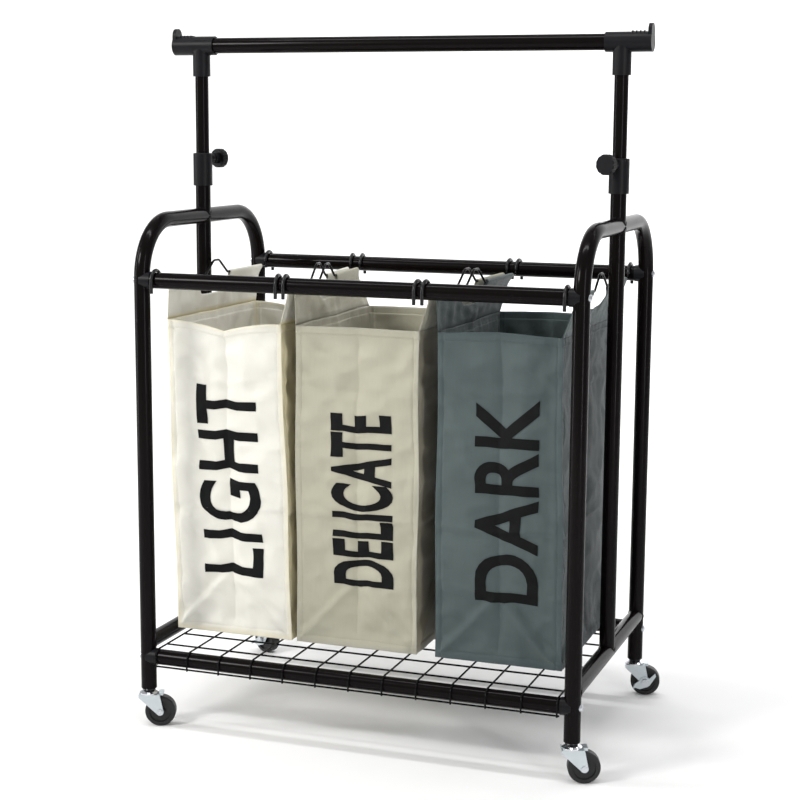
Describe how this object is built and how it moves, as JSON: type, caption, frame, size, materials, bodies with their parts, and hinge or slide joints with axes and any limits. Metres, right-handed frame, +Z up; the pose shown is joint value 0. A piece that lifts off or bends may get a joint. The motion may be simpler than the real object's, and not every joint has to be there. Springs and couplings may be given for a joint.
{
  "type": "laundry sorter on wheels",
  "caption": "Wheeled tube frame with hook-on cloth laundry bags over a wire shelf and a height-adjustable hanging rail above.",
  "frame": {"origin": "centre of the footprint at the floor", "axes": "+X to the right end, -Y to the front, +Z up"},
  "size_m": [0.806, 0.479, 1.13],
  "materials": {
    "frame_paint": "gloss",
    "shelf_wire": "gloss",
    "hanger_wire": "gloss",
    "black_plastic": "satin",
    "black_vinyl": "satin",
    "wheel_black": "satin",
    "chrome": "polished",
    "zinc_plate": "satin",
    "steel_fastener": "satin",
    "cream_cloth": "woven",
    "taupe_cloth": "woven",
    "slate_cloth": "woven"
  },
  "bodies": {
    "frame": {"front_bag_rail": "frame_paint", "front_left_caster_stem": "chrome", "front_right_caster_stem": "chrome", "front_shelf_rail": "frame_paint", "left_collar": "black_plastic", "left_hoop": "frame_paint", "left_post": "frame_paint", "left_post_stub": "frame_paint", "left_side_rail": "frame_paint", "leg_plugs": "black_plastic", "rail_bolts": "steel_fastener", "rail_end_saddles": "black_plastic", "rear_bag_rail": "frame_paint", "rear_left_caster_stem": "chrome", "rear_right_caster_stem": "chrome", "rear_shelf_rail": "frame_paint", "right_collar": "black_plastic", "right_hoop": "frame_paint", "right_post": "frame_paint", "right_post_stub": "frame_paint", "right_side_rail": "frame_paint", "shelf_cross_wires": "shelf_wire", "shelf_long_wires": "shelf_wire", "shelf_wire_ends": "shelf_wire"},
    "hanging_rail": {"hanging_bar": "frame_paint", "left_tee": "black_plastic", "left_upright": "frame_paint", "right_tee": "black_plastic", "right_upright": "frame_paint"},
    "left_clamp": {"left_knob": "black_plastic", "left_knob_screw": "steel_fastener"},
    "right_clamp": {"right_knob": "black_plastic", "right_knob_screw": "steel_fastener"},
    "dark_bag_set": {"dark_bag": "slate_cloth", "dark_bag_hook_sleeves": "black_vinyl", "dark_bag_left_hanger": "hanger_wire", "dark_bag_right_hanger": "hanger_wire"},
    "delicate_bag_set": {"delicate_bag": "taupe_cloth", "delicate_bag_hook_sleeves": "black_vinyl", "delicate_bag_left_hanger": "hanger_wire", "delicate_bag_right_hanger": "hanger_wire"},
    "front_left_caster": {"front_left_caster_axle": "steel_fastener", "front_left_caster_fork": "zinc_plate"},
    "front_left_wheel": {"front_left_caster_wheel": "wheel_black"},
    "front_right_caster": {"front_right_caster_axle": "steel_fastener", "front_right_caster_fork": "zinc_plate"},
    "front_right_wheel": {"front_right_caster_wheel": "wheel_black"},
    "light_bag_set": {"light_bag": "cream_cloth", "light_bag_hook_sleeves": "black_vinyl", "light_bag_left_hanger": "hanger_wire", "light_bag_right_hanger": "hanger_wire"},
    "rear_left_brake": {"rear_left_brake_lever": "zinc_plate"},
    "rear_left_caster": {"rear_left_caster_axle": "steel_fastener", "rear_left_caster_fork": "zinc_plate"},
    "rear_left_wheel": {"rear_left_caster_wheel": "wheel_black"},
    "rear_right_brake": {"rear_right_brake_lever": "zinc_plate"},
    "rear_right_caster": {"rear_right_caster_axle": "steel_fastener", "rear_right_caster_fork": "zinc_plate"},
    "rear_right_wheel": {"rear_right_caster_wheel": "wheel_black"}
  },
  "joints": [
    {"name": "hanging_rail_slide", "type": "slide", "parent": "frame", "child": "hanging_rail", "axis": [0, 0, 1], "range_m": [-0.1, 0.43]},
    {"name": "left_clamp_turn", "type": "hinge", "parent": "frame", "child": "left_clamp", "pos_m": [-0.3555, -0.00073, 0.917], "axis": [0.309, 0.9511, 0], "range_deg": [0, 540]},
    {"name": "right_clamp_turn", "type": "hinge", "parent": "frame", "child": "right_clamp", "pos_m": [0.3555, -0.00073, 0.917], "axis": [-0.2756, -0.9613, 0], "range_deg": [0, 540]},
    {"name": "light_bag_lift", "type": "slide", "parent": "frame", "child": "light_bag_set", "axis": [0, 0, 1], "range_m": [0, 0.042]},
    {"name": "delicate_bag_lift", "type": "slide", "parent": "frame", "child": "delicate_bag_set", "axis": [0, 0, 1], "range_m": [0, 0.14]},
    {"name": "dark_bag_lift", "type": "slide", "parent": "frame", "child": "dark_bag_set", "axis": [0, 0, 1], "range_m": [0, 0.042]},
    {"name": "front_left_swivel", "type": "hinge", "parent": "frame", "child": "front_left_caster", "pos_m": [-0.3555, -0.22073, 0.053], "axis": [0, 0, 1], "continuous": true},
    {"name": "front_left_wheel_spin", "type": "hinge", "parent": "front_left_caster", "child": "front_left_wheel", "pos_m": [-0.33802, -0.21437, 0.025], "axis": [-0.342, 0.9397, 0], "continuous": true},
    {"name": "front_right_swivel", "type": "hinge", "parent": "frame", "child": "front_right_caster", "pos_m": [0.3555, -0.22073, 0.053], "axis": [0, 0, 1], "continuous": true},
    {"name": "front_right_wheel_spin", "type": "hinge", "parent": "front_right_caster", "child": "front_right_wheel", "pos_m": [0.37298, -0.21437, 0.025], "axis": [-0.342, 0.9397, 0], "continuous": true},
    {"name": "rear_left_swivel", "type": "hinge", "parent": "frame", "child": "rear_left_caster", "pos_m": [-0.3555, 0.21927, 0.053], "axis": [0, 0, 1], "continuous": true},
    {"name": "rear_left_wheel_spin", "type": "hinge", "parent": "rear_left_caster", "child": "rear_left_wheel", "pos_m": [-0.33864, 0.21141, 0.025], "axis": [0.4226, 0.9063, 0], "continuous": true},
    {"name": "rear_left_brake_press", "type": "hinge", "parent": "rear_left_caster", "child": "rear_left_brake", "pos_m": [-0.33864, 0.21141, 0.025], "axis": [0.4226, 0.9063, 0], "range_deg": [0, 25]},
    {"name": "rear_right_swivel", "type": "hinge", "parent": "frame", "child": "rear_right_caster", "pos_m": [0.3555, 0.21927, 0.053], "axis": [0, 0, 1], "continuous": true},
    {"name": "rear_right_wheel_spin", "type": "hinge", "parent": "rear_right_caster", "child": "rear_right_wheel", "pos_m": [0.37369, 0.22314, 0.025], "axis": [-0.2079, 0.9781, 0], "continuous": true},
    {"name": "rear_right_brake_press", "type": "hinge", "parent": "rear_right_caster", "child": "rear_right_brake", "pos_m": [0.37369, 0.22314, 0.025], "axis": [-0.2079, 0.9781, 0], "range_deg": [0, 25]}
  ]
}
